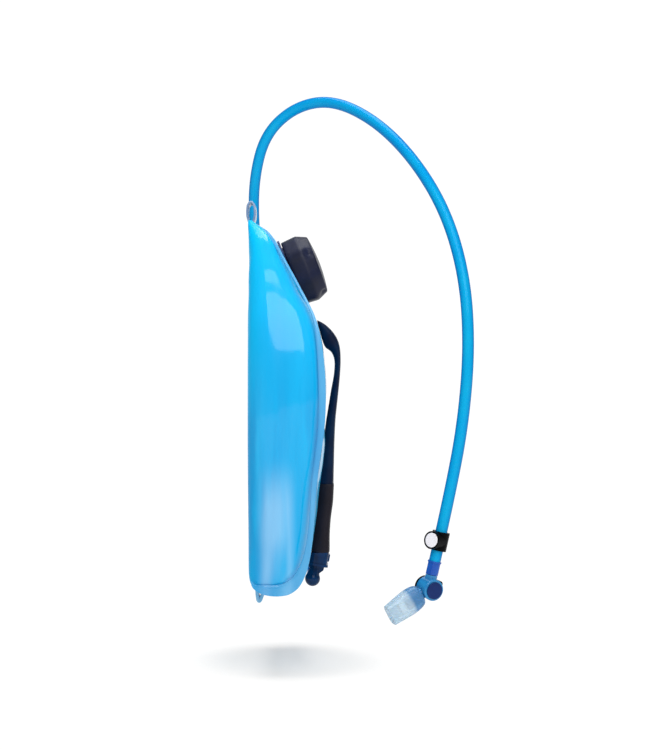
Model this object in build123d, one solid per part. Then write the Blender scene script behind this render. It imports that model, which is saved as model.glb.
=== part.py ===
from build123d import *
import math
import os

# Hydration bladder: a gusseted film bag hung by a loop, with a screw cap, a moulded handle,
# a quick-disconnect outlet and a drink hose with a magnet clip and a shut-off bite valve.
# Millimetres. The origin is the centre of the hang loop's eye. The back panel faces -X,
# the cap and the handle face +X, and the bag is symmetric about the plane Y = 0.

# Film bag: one rounded rectangle per level, as (height, back, front, half width, corner radius)
FILM = 1.0
BAG_LEVELS = [
    (-17.0, -1.5, 12.0, 38.0, 6.5),
    (-28.0, -1.0, 24.0, 47.0, 12.0),
    (-102.0, 0.0, 61.7, 86.0, 25.0),
    (-125.0, 0.0, 67.9, 90.0, 27.0),
    (-178.0, 0.0, 70.8, 92.0, 27.0),
    (-216.0, 0.0, 67.6, 92.0, 27.0),
    (-254.0, 0.0, 62.5, 92.0, 26.0),
    (-292.0, 0.0, 59.0, 92.0, 25.0),
    (-315.0, 0.8, 56.2, 91.0, 24.0),
    (-331.0, 2.5, 52.4, 88.0, 22.0),
    (-343.0, 5.5, 46.6, 84.0, 18.0),
    (-350.0, 10.0, 38.0, 79.0, 12.0),
]
BACK_OUTLINE = [(29.0, -24.0), (58.0, -102.0), (62.0, -178.0), (63.0, -325.0)]
BACK_SEAM_X = 5.0
BACK_SEAM_DEPTH = 20.0
FRONT_SEAM_DEPTH = 6.0
TOP_SEAM = [(-1.5, -17.5), (11.5, -17.5), (2.6, -9.0), (-2.4, -9.0)]
TOP_SEAM_HALF_WIDTH = 30.0

# Loops of film: hang loop at the origin, small loop under the bag
LOOP_OUTER_RADIUS = 4.1
LOOP_WALL = 1.2
LOOP_LOW = -5.0
LOOP_HIGH = 6.4
LOOP_WIDTH = 24.0
FOOT_LOOP = [(11.0, -350.3), (15.4, -350.3), (12.8, -361.0), (9.4, -369.4), (4.2, -369.4), (3.2, -360.0)]
FOOT_LOOP_WALL = 1.0
FOOT_LOOP_WIDTH = 16.0

# Neck and cap, measured along the neck's axis. The neck leans out of the sloping front panel, so its
# flange is a dish: its floor stands out of the film at the top and lies below the film at the bottom.
NECK_ANGLE = 21.2
NECK_CENTRE = (36.7, 0.0, -58.2)
NECK_RADIUS = 26.5
NECK_BORE_RADIUS = 24.0
NECK_INSIDE = -3.0
NECK_HEIGHT = 20.0
FLANGE_RADIUS = 34.0
FLANGE_WALL = 1.0
FLANGE_BACK = -2.2
FLANGE_FLOOR = 1.6
FLANGE_REACH = 8.0
LUG_RADIUS = 28.0
LUG_LOW = 11.0
LUG_HIGH = 13.0
LUG_COUNT = 6
LUG_ANGLE = 36.0
CAP_BASE = 2.4
CAP_SHOULDER = 17.8
CAP_RIM = 27.5
CAP_TOP = 30.2
CAP_FLATS = 8
CAP_BASE_APOTHEM = 30.6
CAP_APOTHEM = 31.8
CAP_RIM_APOTHEM = 27.6
CAP_BASE_RADIUS = 31.6
CAP_MAX_RADIUS = 32.9
CAP_DOME_RADIUS = 150.0
CAP_BORE_RADIUS = 28.6
CAP_ROOF = 22.8
CAP_SCOOP_RADIUS = 5.0
CAP_SCOOP_LEVEL = 23.6
CAP_SCOOP_DISTANCE = 34.6
GASKET_LOW = 20.3
GASKET_HIGH = 22.5
GASKET_INNER_RADIUS = 23.4
GASKET_OUTER_RADIUS = 28.0

# Handle: outer edge from the foot down, and inner edge from the foot's end down
HANDLE_OUTER = [
    (62.2, -101.6), (69.8, -105.0), (76.5, -111.6), (81.7, -119.2), (84.3, -129.0),
    (84.7, -140.0), (82.7, -168.0), (79.8, -196.0), (78.4, -234.0), (77.8, -258.0),
]
HANDLE_FOOT_END = (68.2, -126.0)
HANDLE_INNER = [
    (68.2, -126.0), (73.0, -128.4), (77.2, -133.5), (78.9, -140.0),
    (78.3, -152.0), (75.4, -168.0), (72.7, -187.0), (70.0, -202.0),
]
HANDLE_LOWER = [(67.85, -216.0), (62.75, -254.0), (62.4, -258.0)]
HANDLE_HALF_WIDTH = 12.0
SLEEVE_OUTLINE = [
    (77.8, -258.2), (77.4, -272.0), (74.9, -291.0), (74.2, -321.0),
    (56.55, -321.0), (59.25, -292.0), (62.4, -258.2),
]
SLEEVE_HALF_WIDTH = 12.6

# Outlet and quick disconnect, measured down the plug's axis from the sleeve's end
PLUG_ORIGIN = (62.5, 0.0, -321.0)
PLUG_TILT = 10.0
OUTLET_TOP = -34.0
OUTLET_LEVEL = -24.0
OUTLET_FLANGE_RADIUS = 12.0
OUTLET_FLANGE_THICKNESS = 1.5
OUTLET_RADIUS = 4.8
OUTLET_BORE_RADIUS = 3.4
OUTLET_REACH = 8.0
OUTLET_GAP = 0.02
STUB_BORE_RADIUS = 3.0
SOCKET_TOP = -9.0
SOCKET_BARREL_RADIUS = 5.4
SOCKET_RISE = 4.0
SOCKET_LENGTH = 12.2
SOCKET_BACK = -6.0
SOCKET_FRONT = 11.0
SOCKET_HALF_WIDTH = 12.0
SOCKET_ROUND = 4.0
SOCKET_LIP_LOW = 10.0
SOCKET_LIP = 1.2
SEAT_LOW = -3.0
SEAT_HIGH = -1.5
SEAT_RADIUS = 2.7
CHAMBER_RADIUS = 3.9
SOCKET_BORE_RADIUS = 4.3
BUTTON_LOW = 0.2
BUTTON_HIGH = 7.4
BUTTON_HALF_WIDTH = 5.0
BUTTON_DEPTH = 4.6
BUTTON_PROUD = 1.6
BUTTON_ROUND = 1.2
BUTTON_TRAVEL = 1.5
BUTTON_GAP = 0.3
POCKET_BACK = 5.2
SPRING_RADIUS = 2.2
SPRING_WALL = 0.7
POPPET_RADIUS = 3.2
POPPET_TOP = -8.0
POPPET_THICKNESS = 1.5
POPPET_STEM_RADIUS = 1.2
POPPET_STEM_TOP = -13.0
POPPET_SPRING_TOP = -15.0
POPPET_SPRING_RADIUS = 3.0
POPPET_SPRING_BORE = 1.7
NOSE_TOP = -6.2
NOSE_RADIUS = 2.3
NOSE_BORE_RADIUS = 1.5
PLUG_BODY_TOP = -1.2
PLUG_RADIUS = 4.0
PLUG_BORE_RADIUS = 2.0
PLUG_SHOULDER = 0.4
PLUG_SEAL_LOW = 2.0
PLUG_SEAL_HIGH = 3.8
PLUG_SEAL_GROOVE = 3.0
PLUG_FLANGE_LOW = 12.6
PLUG_FLANGE_HIGH = 15.2
PLUG_FLANGE_RADIUS = 6.3
PLUG_FLANGE_NOSE = (6.2, 2.9)
PLUG_NECK_RADIUS = 4.7
PLUG_NECK_FOOT_RADIUS = 6.7
BALL_CENTRE = 26.1
BALL_RADIUS = 7.2
TAB_OUTLINE = [(3.5, 15.0), (8.9, 15.0), (8.6, 16.6), (4.4, 20.8)]
TAB_HALF_WIDTH = 3.0

# Drink hose: its route's points, from the plug elbow to the valve connector
HOSE_RADIUS = 5.25
HOSE_BORE_RADIUS = 3.25
HOSE_ROUTE = [
    (57.4, 8.0, -346.7),
    (57.0, 48.0, -348.0),
    (55.0, 91.0, -341.0),
    (50.0, 119.0, -308.0),
    (43.0, 124.0, -256.0),
    (34.0, 120.0, -202.0),
    (23.0, 112.0, -146.0),
    (12.0, 98.0, -92.0),
    (3.0, 81.0, -44.0),
    (-1.0, 64.0, -4.0),
    (0.0, 49.0, 40.0),
    (11.5, 35.0, 81.0),
    (41.0, 19.0, 105.0),
    (77.0, -3.0, 107.5),
    (116.0, -34.0, 83.0),
    (149.5, -68.0, 43.0),
    (176.5, -96.0, -8.0),
    (192.0, -110.0, -66.0),
    (195.7, -115.0, -128.0),
    (190.5, -115.0, -194.0),
    (179.0, -114.0, -256.2),
    (165.6, -114.0, -315.7),
]
ARC_SHARE = 0.45
BARB_RADIUS = 3.15
BARB_STEP = 0.35
BARB_SHARE = 0.8
BARB_LENGTH = 14.0
BARB_RINGS = 3

# Clip on the hose, measured back from the hose's end
CLIP_DISTANCE = 18.0
CLIP_HALF_LENGTH = 8.2
CLIP_BORE_RADIUS = 5.55
CLIP_RADIUS = 7.7
CLIP_DIRECTION = (-0.65, -0.76, 0.0)
CUP_RADIUS = 7.8
CUP_FACE = 12.2
MAGNET_RADIUS = 6.4
MAGNET_BACK = 9.4
MAGNET_FACE = 12.6
MAGNET_ROUND = 0.8

# Valve, measured from the hose's end down the hose's axis
CONNECTOR_RIDGE_RADIUS = 6.1
CONNECTOR_RIDGE_LENGTH = 1.4
CONNECTOR_COLLAR_RADIUS = 5.5
CONNECTOR_COLLAR_LENGTH = 12.0
CONNECTOR_RADIUS = 4.0
CONNECTOR_LENGTH = 19.0
CONNECTOR_BORE_RADIUS = 2.2
CONNECTOR_SEAL_LOW = 14.5
CONNECTOR_SEAL_HIGH = 16.3
CONNECTOR_SEAL_GROOVE = 3.0
VALVE_CENTRE = 24.2
VALVE_NECK_TOP = 12.4
VALVE_NECK_RADIUS = 5.3
VALVE_SOCKET_RADIUS = 4.3
VALVE_SOCKET_BOTTOM = 19.3
DIAL_AXIS = (0.431, -0.898, -0.088)
BITE_ANGLE = 48.0
BARREL_RADIUS = 9.4
BARREL_BACK = -5.4
BARREL_FRONT = 9.8
BARREL_ROUND = 1.2
SPINDLE_RADIUS = 5.0
SPINDLE_CLEARANCE = 0.3
SPOUT_RADIUS = 5.2
SPOUT_BORE_RADIUS = 3.4
SPOUT_LENGTH = 25.0
VALVE_PASSAGE_RADIUS = 2.6
LEVER_BACK = -8.0
LEVER_FRONT = -5.8
LEVER_RING_RADIUS = 9.6
LEVER_REACH = 14.6
LEVER_TIP_RADIUS = 2.8
LEVER_ANGLE = -26.0
DIAL_BACK = 10.1
DIAL_FRONT = 11.4
DIAL_RADIUS = 7.4
DIAL_ROUND = 0.5
DIAL_SEAL_STARTS = (-5.0, 3.2)
DIAL_SEAL_WIDTH = 1.8
DIAL_SEAL_GROOVE = 4.0
BITE_START = 10.2
BITE_BULGE = 21.0
BITE_END = 43.5
BITE_START_RADIUS = 8.2
BITE_BULGE_SIZE = (17.0, 22.6)
BITE_END_SIZE = (10.5, 19.0)
BITE_BORE_RADIUS = 5.35
SLIT_SIZE = (1.0, 11.0)

# How far a cutter runs past what it cuts, how large an unlimited one is, and the play of a seal or
# a pressed joint
OVERRUN = 1.0
FAR = 200.0
PLAY = 0.1
MIN_ALIGN = (Align.CENTER, Align.CENTER, Align.MIN)


def unit(vector):
    """A vector scaled to length one."""
    return Vector(*vector).normalized()


def rod(plane, low, high, radius):
    """A cylinder along a plane's normal, from one distance to another."""
    return plane.offset(low) * Cylinder(radius, high - low, align=MIN_ALIGN)


def ring(plane, low, high, outer, inner):
    """A tube along a plane's normal."""
    return rod(plane, low, high, outer) - rod(plane, low - OVERRUN, high + OVERRUN, inner)


def side_prism(points, half_width):
    """A shape drawn in X and Z, and as wide to either side of Y = 0."""
    outline = make_face(Polyline(*points, close=True))
    return extrude(Plane.XZ * outline, amount=half_width, both=True)


def bag_form(inset):
    """The bag's closed form, drawn in by an inset on every side."""
    sections = []
    for index, (height, back, front, half_width, radius) in enumerate(BAG_LEVELS):
        level = height
        if index == 0:
            level = height - inset
        if index == len(BAG_LEVELS) - 1:
            level = height + inset
        centre = Plane(origin=((back + front) / 2, 0, level))
        depth = front - back - 2 * inset
        width = 2 * (half_width - inset)
        sections.append(centre * RectangleRounded(depth, width, radius - inset))
    return loft(sections, ruled=True)


def front_cutter():
    """Everything in front of the seam that runs around the front panel."""
    seam = [(front - FRONT_SEAM_DEPTH, height) for height, back, front, width, radius in BAG_LEVELS[1:-2]]
    return side_prism(seam + [(FAR, seam[-1][1]), (FAR, seam[0][1])], FAR)


def neck_plane():
    """The neck's plane: in the flange, its normal along the neck."""
    angle = math.radians(NECK_ANGLE)
    return Plane(origin=NECK_CENTRE, x_dir=(0, 1, 0), z_dir=(math.cos(angle), 0, math.sin(angle)))


def plug_plane():
    """The quick disconnect's plane: its normal points down the plug, its x axis to the front."""
    angle = math.radians(PLUG_TILT)
    return Plane(origin=PLUG_ORIGIN, x_dir=(math.cos(angle), 0, -math.sin(angle)),
                 z_dir=(-math.sin(angle), 0, -math.cos(angle)))


def outlet_plane():
    """The front panel's plane where the outlet goes through it, its normal facing out."""
    centre = plug_plane().from_local_coords(Vector(0, 0, OUTLET_LEVEL))
    above = [level for level in BAG_LEVELS if level[0] > centre.Z]
    below = [level for level in BAG_LEVELS if level[0] <= centre.Z]
    high, _, high_front, _, _ = above[-1]
    low, _, low_front, _, _ = below[0]
    share = (high - centre.Z) / (high - low)
    front = high_front + share * (low_front - high_front)
    return Plane(origin=(front, 0, centre.Z), x_dir=(0, 1, 0), z_dir=(high - low, 0, low_front - high_front))


def hose_end_plane():
    """The plane at the hose's end: its normal runs on down the hose's axis."""
    last = Vector(*HOSE_ROUTE[-1])
    before = Vector(*HOSE_ROUTE[-2])
    return Plane(origin=last, x_dir=(0, 1, 0), z_dir=last - before)


def hose_start_plane():
    """The plane at the hose's start: its normal runs into the hose."""
    first = Vector(*HOSE_ROUTE[0])
    second = Vector(*HOSE_ROUTE[1])
    return Plane(origin=first, x_dir=(1, 0, 0), z_dir=second - first)


def valve_directions():
    """The dial's axis, square to the hose's axis, and the direction of the mouth."""
    hose = hose_end_plane().z_dir
    dial = unit(DIAL_AXIS)
    dial = (dial - hose * dial.dot(hose)).normalized()
    side = dial.cross(hose)
    if side.X > 0:
        side = side * -1
    angle = math.radians(BITE_ANGLE)
    return dial, hose * math.cos(angle) + side * math.sin(angle)


def valve_centre():
    """The point where the valve's three axes meet."""
    return hose_end_plane().from_local_coords(Vector(0, 0, VALVE_CENTRE))


def dial_plane():
    """The shut-off dial's plane, its normal along the dial's axis and its x axis along the lever."""
    dial, mouth = valve_directions()
    return Plane(origin=valve_centre(), x_dir=mouth * -1, z_dir=dial)


def mouth_plane():
    """The bite valve's plane, its normal towards the mouth and its x axis along the dial's axis."""
    dial, mouth = valve_directions()
    return Plane(origin=valve_centre(), x_dir=dial, z_dir=mouth)


def bag_panels():
    """The back panel, the gusset and the front panel, cut from one hollow form along their seams."""
    shell = bag_form(0) - bag_form(FILM)
    outline = BACK_OUTLINE + [(-y, z) for y, z in reversed(BACK_OUTLINE)]
    back_face = Plane.YZ * make_face(Polyline(*outline, close=True))
    back_cutter = Pos(BACK_SEAM_X, 0, 0) * extrude(back_face, amount=-BACK_SEAM_DEPTH)
    front = front_cutter()
    back_panel = shell & back_cutter
    neck_hole = rod(neck_plane(), -FLANGE_REACH, FLANGE_REACH, FLANGE_RADIUS)
    front_panel = (shell & front) - neck_hole - rod(outlet_plane(), -2 * FILM, FILM, OUTLET_RADIUS)
    top_seam = side_prism(TOP_SEAM, TOP_SEAM_HALF_WIDTH) - bag_form(0)
    top_seam = top_seam - extrude(side_slot(LOOP_OUTER_RADIUS), amount=LOOP_WIDTH / 2, both=True)
    gusset = shell - back_cutter - front - neck_hole + top_seam
    return back_panel, gusset, front_panel


def hang_loop():
    """A loop of film, its tunnel along Y, that hangs the bag in a pack."""
    outer = side_slot(LOOP_OUTER_RADIUS)
    inner = side_slot(LOOP_OUTER_RADIUS - LOOP_WALL)
    return extrude(outer - inner, amount=LOOP_WIDTH / 2, both=True)


def side_slot(radius):
    """A slot shape in X and Z around the hang loop's eye."""
    height = LOOP_HIGH - LOOP_LOW
    middle = (LOOP_HIGH + LOOP_LOW) / 2
    return Plane.XZ * (Pos(0, middle) * SlotCenterToCenter(height, 2 * radius, rotation=90))


def bottom_loop():
    """A small film loop under the bag's back edge."""
    outline = make_face(Polyline(*FOOT_LOOP, close=True))
    hole = offset(outline, amount=-FOOT_LOOP_WALL)
    return extrude(Plane.XZ * (outline - hole), amount=FOOT_LOOP_WIDTH / 2, both=True)


def neck_ring():
    """The welded dish and the threaded neck, whose thread is a row of lugs."""
    plane = neck_plane()
    floor = rod(plane, FLANGE_BACK, FLANGE_FLOOR, FLANGE_RADIUS)
    wall = ring(plane, FLANGE_BACK, FLANGE_REACH, FLANGE_RADIUS, FLANGE_RADIUS - FLANGE_WALL)
    body = floor + (wall & bag_form(0)) + rod(plane, NECK_INSIDE, NECK_HEIGHT, NECK_RADIUS)
    for index in range(LUG_COUNT):
        start = index * 360 / LUG_COUNT
        rib = ring(plane, LUG_LOW, LUG_HIGH, LUG_RADIUS, NECK_RADIUS - OVERRUN)
        wedge = plane.offset(LUG_LOW - OVERRUN) * Rot(0, 0, start) * lug_wedge()
        body = body + (rib & wedge)
    return body - rod(plane, NECK_INSIDE - OVERRUN, NECK_HEIGHT + OVERRUN, NECK_BORE_RADIUS)


def lug_wedge():
    """A wedge, as wide as one lug, about the neck's axis."""
    half = math.radians(LUG_ANGLE / 2)
    reach = 2 * LUG_RADIUS
    corners = [(0, 0), (reach * math.cos(half), -reach * math.sin(half)),
               (reach * math.cos(half), reach * math.sin(half))]
    return extrude(make_face(Polyline(*corners, close=True)), amount=LUG_HIGH - LUG_LOW + 2 * OVERRUN)


def octagon(level, apothem):
    """The cap's outline at a level, given the distance from its centre to a flat."""
    side = RegularPolygon(apothem / math.cos(math.pi / CAP_FLATS), CAP_FLATS, rotation=180 / CAP_FLATS)
    return neck_plane().offset(level) * side


def cap_envelope():
    """The turned form that rounds off the cap's corners and domes its top."""
    outline = Polyline((0, CAP_BASE), (CAP_BASE_RADIUS, CAP_BASE), (CAP_MAX_RADIUS, CAP_SHOULDER),
                       (CAP_MAX_RADIUS, CAP_TOP), (0, CAP_TOP), close=True)
    turned = revolve(Plane.XZ * make_face(outline), Axis.Z)
    dome = Pos(0, 0, CAP_TOP - CAP_DOME_RADIUS) * Sphere(CAP_DOME_RADIUS)
    return neck_plane() * (turned & dome)


def cap():
    """The screw cap: eight flats that flare out, a tapering top edge with finger scoops, and a dome."""
    plane = neck_plane()
    flats = loft([octagon(CAP_BASE, CAP_BASE_APOTHEM), octagon(CAP_SHOULDER, CAP_APOTHEM)], ruled=True)
    taper = loft([octagon(CAP_SHOULDER, CAP_APOTHEM), octagon(CAP_RIM, CAP_RIM_APOTHEM)], ruled=True)
    crown = extrude(octagon(CAP_RIM, CAP_RIM_APOTHEM), amount=CAP_TOP - CAP_RIM, dir=plane.z_dir)
    body = (flats + taper + crown) & cap_envelope()
    for index in range(CAP_FLATS // 2):
        turn = Rot(0, 0, index * 720 / CAP_FLATS + 180 / CAP_FLATS)
        scoop = turn * Pos(CAP_SCOOP_DISTANCE, 0, CAP_SCOOP_LEVEL) * Sphere(CAP_SCOOP_RADIUS)
        body = body - plane * scoop
    return body - rod(plane, CAP_BASE - OVERRUN, CAP_ROOF, CAP_BORE_RADIUS)


def cap_gasket():
    """The flat ring that seals the neck's rim against the cap's roof."""
    return ring(neck_plane(), GASKET_LOW, GASKET_HIGH, GASKET_OUTER_RADIUS, GASKET_INNER_RADIUS)


def handle_grip():
    """The moulded handle: a foot on the bag, a bowed grip, and a lower end that lies on the bag."""
    outer = Spline(*HANDLE_OUTER)
    foot = Line(HANDLE_FOOT_END, HANDLE_OUTER[0])
    inner = Spline(*HANDLE_INNER)
    lower = Polyline(HANDLE_INNER[-1], *HANDLE_LOWER)
    end = Line(HANDLE_LOWER[-1], HANDLE_OUTER[-1])
    face = make_face(Curve() + [outer, foot, inner, lower, end])
    return extrude(Plane.XZ * face, amount=HANDLE_HALF_WIDTH, both=True)


def handle_sleeve():
    """The sleeve that covers the handle's lower half and the outlet tube inside it."""
    body = side_prism(SLEEVE_OUTLINE, SLEEVE_HALF_WIDTH)
    body = body - rod(plug_plane(), OUTLET_TOP - 2 * PLAY, SOCKET_BACK + FAR, SOCKET_BARREL_RADIUS + PLAY)
    return body - rod(outlet_plane(), -SLEEVE_HALF_WIDTH, OUTLET_REACH, OUTLET_RADIUS + PLAY)


def outlet_port():
    """The port welded inside the front panel, with a stub through it and a tube down to the socket."""
    plane = plug_plane()
    wall = outlet_plane()
    inside = bag_form(FILM + OUTLET_GAP)
    flange = rod(wall, -FILM - OUTLET_FLANGE_THICKNESS, 0, OUTLET_FLANGE_RADIUS) & inside
    stub = rod(wall, -FILM - OVERRUN, OUTLET_REACH, OUTLET_RADIUS - OUTLET_GAP)
    tube = rod(plane, OUTLET_TOP, SOCKET_TOP, OUTLET_RADIUS)
    body = flange + stub + tube
    body = body - rod(plane, OUTLET_TOP + OUTLET_FLANGE_THICKNESS, SOCKET_TOP + OVERRUN, OUTLET_BORE_RADIUS)
    return body - rod(wall, -FILM - 2 * OUTLET_FLANGE_THICKNESS, OUTLET_REACH, STUB_BORE_RADIUS)


def collar_outline(lip):
    """The quick-disconnect collar's outline, wider by a lip on its front and sides."""
    depth = SOCKET_FRONT + lip - SOCKET_BACK
    middle = (SOCKET_FRONT + lip + SOCKET_BACK) / 2
    return Pos(middle, 0) * RectangleRounded(depth, 2 * (SOCKET_HALF_WIDTH + lip), SOCKET_ROUND)


def qd_socket():
    """The quick-disconnect socket: a barrel with the poppet's seat, and a lipped collar for the button."""
    plane = plug_plane()
    level = PLUG_ORIGIN[2]
    collar = plane.offset(-SOCKET_RISE) * extrude(collar_outline(0), amount=SOCKET_LENGTH + SOCKET_RISE)
    collar = collar & side_prism([(0, level), (FAR, level), (FAR, level - FAR), (0, level - FAR)], FAR)
    lip_height = SOCKET_LENGTH - SOCKET_LIP_LOW
    collar = collar + plane.offset(SOCKET_LIP_LOW) * extrude(collar_outline(SOCKET_LIP), amount=lip_height)
    body = collar + rod(plane, SOCKET_TOP, SOCKET_LENGTH, SOCKET_BARREL_RADIUS)
    body = body - rod(plane, SOCKET_TOP - OVERRUN, SEAT_LOW, CHAMBER_RADIUS)
    body = body - rod(plane, SEAT_LOW - OVERRUN, SEAT_HIGH + OVERRUN, SEAT_RADIUS)
    body = body - rod(plane, SEAT_HIGH, SOCKET_LENGTH + OVERRUN, SOCKET_BORE_RADIUS)
    return body - plane * button_block(POCKET_BACK, SOCKET_FRONT + 2 * OVERRUN, BUTTON_GAP)


def button_block(back, front, margin):
    """A block across the collar at the button's height, wider by a margin on four sides."""
    height = BUTTON_HIGH - BUTTON_LOW + 2 * margin
    middle = Pos((back + front) / 2, 0, (BUTTON_LOW + BUTTON_HIGH) / 2)
    return middle * Box(front - back, 2 * (BUTTON_HALF_WIDTH + margin), height)


def release_button():
    """The button on the collar's front, pushed in to let the plug go."""
    front = SOCKET_FRONT + BUTTON_PROUD
    body = button_block(front - BUTTON_DEPTH, front, 0)
    edges = body.faces().sort_by(Axis.X)[-1].edges()
    return plug_plane() * fillet(edges, BUTTON_ROUND)


def button_spring():
    """The button's spring, at its pressed length, against the pocket's back wall."""
    back = SOCKET_FRONT + BUTTON_PROUD - BUTTON_DEPTH - BUTTON_TRAVEL
    axis = Plane(origin=(POCKET_BACK, 0, (BUTTON_LOW + BUTTON_HIGH) / 2), x_dir=(0, 1, 0), z_dir=(1, 0, 0))
    coil = ring(axis, 0, back - POCKET_BACK - 2 * PLAY, SPRING_RADIUS, SPRING_RADIUS - SPRING_WALL)
    return plug_plane() * coil


def poppet():
    """The socket's poppet, held open by the plug's nose."""
    plane = plug_plane()
    head = rod(plane, POPPET_TOP, POPPET_TOP + POPPET_THICKNESS, POPPET_RADIUS)
    return head + rod(plane, POPPET_STEM_TOP, POPPET_TOP, POPPET_STEM_RADIUS)


def poppet_spring():
    """The spring that closes the poppet when the plug is out."""
    low = POPPET_TOP - 3 * PLAY
    return ring(plug_plane(), POPPET_SPRING_TOP, low, POPPET_SPRING_RADIUS, POPPET_SPRING_BORE)


def barb(plane):
    """A ribbed spigot along a plane's normal."""
    core = BARB_RADIUS - BARB_STEP
    body = rod(plane, -OVERRUN / 2, BARB_LENGTH, core)
    pitch = BARB_LENGTH / BARB_RINGS
    for index in range(BARB_RINGS):
        rib = Cone(BARB_RADIUS, core, BARB_SHARE * pitch, align=MIN_ALIGN)
        body = body + plane.offset((index + 1 - BARB_SHARE) * pitch) * rib
    return body


def teardrop(plane, low, high, radius, tip_distance, tip_radius):
    """A plate shaped like a drop: the hull of a large circle and a small one along the x axis."""
    outline = make_hull(Circle(radius).edges() + (Pos(tip_distance, 0) * Circle(tip_radius)).edges())
    return plane.offset(low) * extrude(outline, amount=high - low)


def plug_tab():
    """The fin under the plug's flange that a finger pulls."""
    plane = plug_plane()
    corners = [plane.from_local_coords(Vector(x, 0, z)) for x, z in TAB_OUTLINE]
    return side_prism([(corner.X, corner.Z) for corner in corners], TAB_HALF_WIDTH)


def plug_elbow():
    """The plug: a nose that opens the poppet, a sealed body, a ball elbow, a finger fin and a barb."""
    plane = plug_plane()
    start = hose_start_plane()
    centre = plane.from_local_coords(Vector(0, 0, BALL_CENTRE))
    reach = (start.origin - centre).length
    neck_length = BALL_CENTRE - PLUG_FLANGE_HIGH
    body = rod(plane, NOSE_TOP, PLUG_BODY_TOP, NOSE_RADIUS)
    body = body + rod(plane, PLUG_BODY_TOP, PLUG_FLANGE_LOW, PLUG_RADIUS)
    body = body + teardrop(plane, PLUG_FLANGE_LOW, PLUG_FLANGE_HIGH, PLUG_FLANGE_RADIUS, *PLUG_FLANGE_NOSE)
    neck = Cone(PLUG_NECK_RADIUS, PLUG_NECK_FOOT_RADIUS, neck_length, align=MIN_ALIGN)
    body = body + plane.offset(PLUG_FLANGE_HIGH) * neck
    body = body + Pos(centre) * Sphere(BALL_RADIUS) + plug_tab()
    body = body + rod(start, -reach, 0, HOSE_RADIUS + PLUG_SHOULDER)
    body = body + barb(start)
    body = body - ring(plane, PLUG_SEAL_LOW, PLUG_SEAL_HIGH, PLUG_RADIUS + OVERRUN, PLUG_SEAL_GROOVE)
    body = body - rod(plane, NOSE_TOP - OVERRUN, BALL_CENTRE, NOSE_BORE_RADIUS)
    body = body - rod(plane, 0, BALL_CENTRE, PLUG_BORE_RADIUS)
    return body - rod(start, -reach, BARB_LENGTH + OVERRUN, NOSE_BORE_RADIUS)


def seal(plane, low, high, outer, groove):
    """An O-ring with a little play in its groove."""
    return ring(plane, low + PLAY, high - PLAY, outer - PLAY, groove + PLAY / 2)


def plug_seal():
    """The O-ring in the plug's groove."""
    return seal(plug_plane(), PLUG_SEAL_LOW, PLUG_SEAL_HIGH, SOCKET_BORE_RADIUS, PLUG_SEAL_GROOVE)


def hose_path():
    """The hose's route: straight runs joined by arcs as large as the runs allow."""
    points = [Vector(*point) for point in HOSE_ROUTE]
    radii = []
    for before, here, after in zip(points, points[1:], points[2:]):
        run = min((here - before).length, (after - here).length)
        turn = math.radians((here - before).get_angle(after - here))
        radii.append(ARC_SHARE * run / math.tan(turn / 2))
    print("hose arc radii", [round(radius) for radius in radii])
    return FilletPolyline(*points, radius=radii)


def drink_hose():
    """The hose, a plain tube along its route."""
    path = hose_path()
    section = Plane(origin=path @ 0, z_dir=path % 0) * (Circle(HOSE_RADIUS) - Circle(HOSE_BORE_RADIUS))
    body = sweep(section, path=path)
    expected = math.pi * (HOSE_RADIUS ** 2 - HOSE_BORE_RADIUS ** 2) * path.length
    print("hose length", round(path.length, 1), "volume share", round(body.volume / expected, 4))
    return body


def clip_planes():
    """The clip's plane along the hose, and the plane whose normal its magnet faces."""
    end = hose_end_plane()
    along = end.offset(-CLIP_DISTANCE)
    facing = unit(CLIP_DIRECTION)
    facing = (facing - end.z_dir * facing.dot(end.z_dir)).normalized()
    return along, Plane(origin=along.origin, x_dir=end.z_dir, z_dir=facing)


def clip_band():
    """The band around the hose with the round cup that holds the magnet."""
    along, facing = clip_planes()
    body = rod(along, -CLIP_HALF_LENGTH, CLIP_HALF_LENGTH, CLIP_RADIUS) + rod(facing, 0, CUP_FACE, CUP_RADIUS)
    body = body - rod(along, -FAR, FAR, CLIP_BORE_RADIUS)
    return body - rod(facing, MAGNET_BACK, CUP_FACE + OVERRUN, MAGNET_RADIUS + PLAY)


def clip_magnet():
    """The round magnet in the clip's cup."""
    along, facing = clip_planes()
    disc = Cylinder(MAGNET_RADIUS, MAGNET_FACE - MAGNET_BACK, align=MIN_ALIGN)
    disc = fillet(disc.faces().sort_by(Axis.Z)[-1].edges(), MAGNET_ROUND)
    return facing.offset(MAGNET_BACK) * disc


def valve_connector():
    """The connector: a barb in the hose's end, a ridged collar, and a shaft on which the valve turns."""
    plane = hose_end_plane()
    back = Plane(origin=plane.origin, x_dir=plane.x_dir, z_dir=plane.z_dir * -1)
    body = rod(plane, 0, CONNECTOR_COLLAR_LENGTH, CONNECTOR_COLLAR_RADIUS) + barb(back)
    body = body + rod(plane, 0, CONNECTOR_RIDGE_LENGTH, CONNECTOR_RIDGE_RADIUS)
    body = body + rod(plane, CONNECTOR_COLLAR_LENGTH, CONNECTOR_LENGTH, CONNECTOR_RADIUS)
    outer = CONNECTOR_RADIUS + OVERRUN
    body = body - ring(plane, CONNECTOR_SEAL_LOW, CONNECTOR_SEAL_HIGH, outer, CONNECTOR_SEAL_GROOVE)
    return body - rod(plane, -BARB_LENGTH - OVERRUN, CONNECTOR_LENGTH + OVERRUN, CONNECTOR_BORE_RADIUS)


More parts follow.
